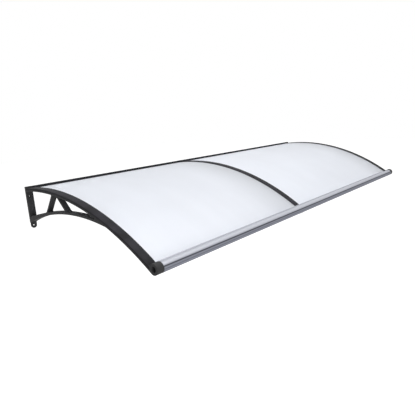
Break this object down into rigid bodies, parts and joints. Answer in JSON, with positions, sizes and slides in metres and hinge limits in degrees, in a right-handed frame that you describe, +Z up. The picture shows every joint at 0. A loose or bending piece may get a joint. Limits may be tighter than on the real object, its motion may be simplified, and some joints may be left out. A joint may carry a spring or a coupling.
{
  "type": "door canopy",
  "caption": "Wall-mounted door canopy with curved opal plastic sheets clamped on black lattice brackets and a tubular front rail, to keep rain off a doorway.",
  "frame": {"origin": "wall face of the middle bracket, at the height where the top of the cover strips would meet the wall", "axes": "+X to the right along the wall as seen from the doorstep, +Y into the wall, +Z up; the canopy reaches towards -Y"},
  "size_m": [2.5, 0.9559, 0.274],
  "materials": {
    "moulding": "matt black moulded plastic",
    "strip": "matt black coated extrusion",
    "opal": "smooth opal polycarbonate",
    "gasket": "matt black",
    "foam": "dark grey foam",
    "rail": "satin anodised",
    "zinc_steel": "zinc plated"
  },
  "bodies": {
    "root": {"bracket_left": "moulding", "bracket_middle": "moulding", "bracket_right": "moulding", "cover_strip_left": "strip", "cover_strip_middle": "strip", "cover_strip_right": "strip", "sheet_left": "opal", "rear_rail_left": "strip", "wall_seal_left": "foam", "sheet_right": "opal", "rear_rail_right": "strip", "wall_seal_right": "foam", "front_rail": "rail", "lower_gasket_left": "gasket", "upper_gasket_left": "gasket", "lower_gasket_middle_left": "gasket", "upper_gasket_middle_left": "gasket", "lower_gasket_middle_right": "gasket", "upper_gasket_middle_right": "gasket", "lower_gasket_right": "gasket", "upper_gasket_right": "gasket", "cover_screw_left_1": "zinc_steel", "cover_screw_left_2": "zinc_steel", "cover_screw_left_3": "zinc_steel", "cover_screw_left_4": "zinc_steel", "cover_screw_left_5": "zinc_steel", "cover_screw_middle_1": "zinc_steel", "cover_screw_middle_2": "zinc_steel", "cover_screw_middle_3": "zinc_steel", "cover_screw_middle_4": "zinc_steel", "cover_screw_middle_5": "zinc_steel", "cover_screw_right_1": "zinc_steel", "cover_screw_right_2": "zinc_steel", "cover_screw_right_3": "zinc_steel", "cover_screw_right_4": "zinc_steel", "cover_screw_right_5": "zinc_steel", "front_bolt_left": "zinc_steel", "front_washer_left": "zinc_steel", "front_bolt_right": "zinc_steel", "front_washer_right": "zinc_steel", "nose_screw": "zinc_steel"}
  },
  "joints": []
}
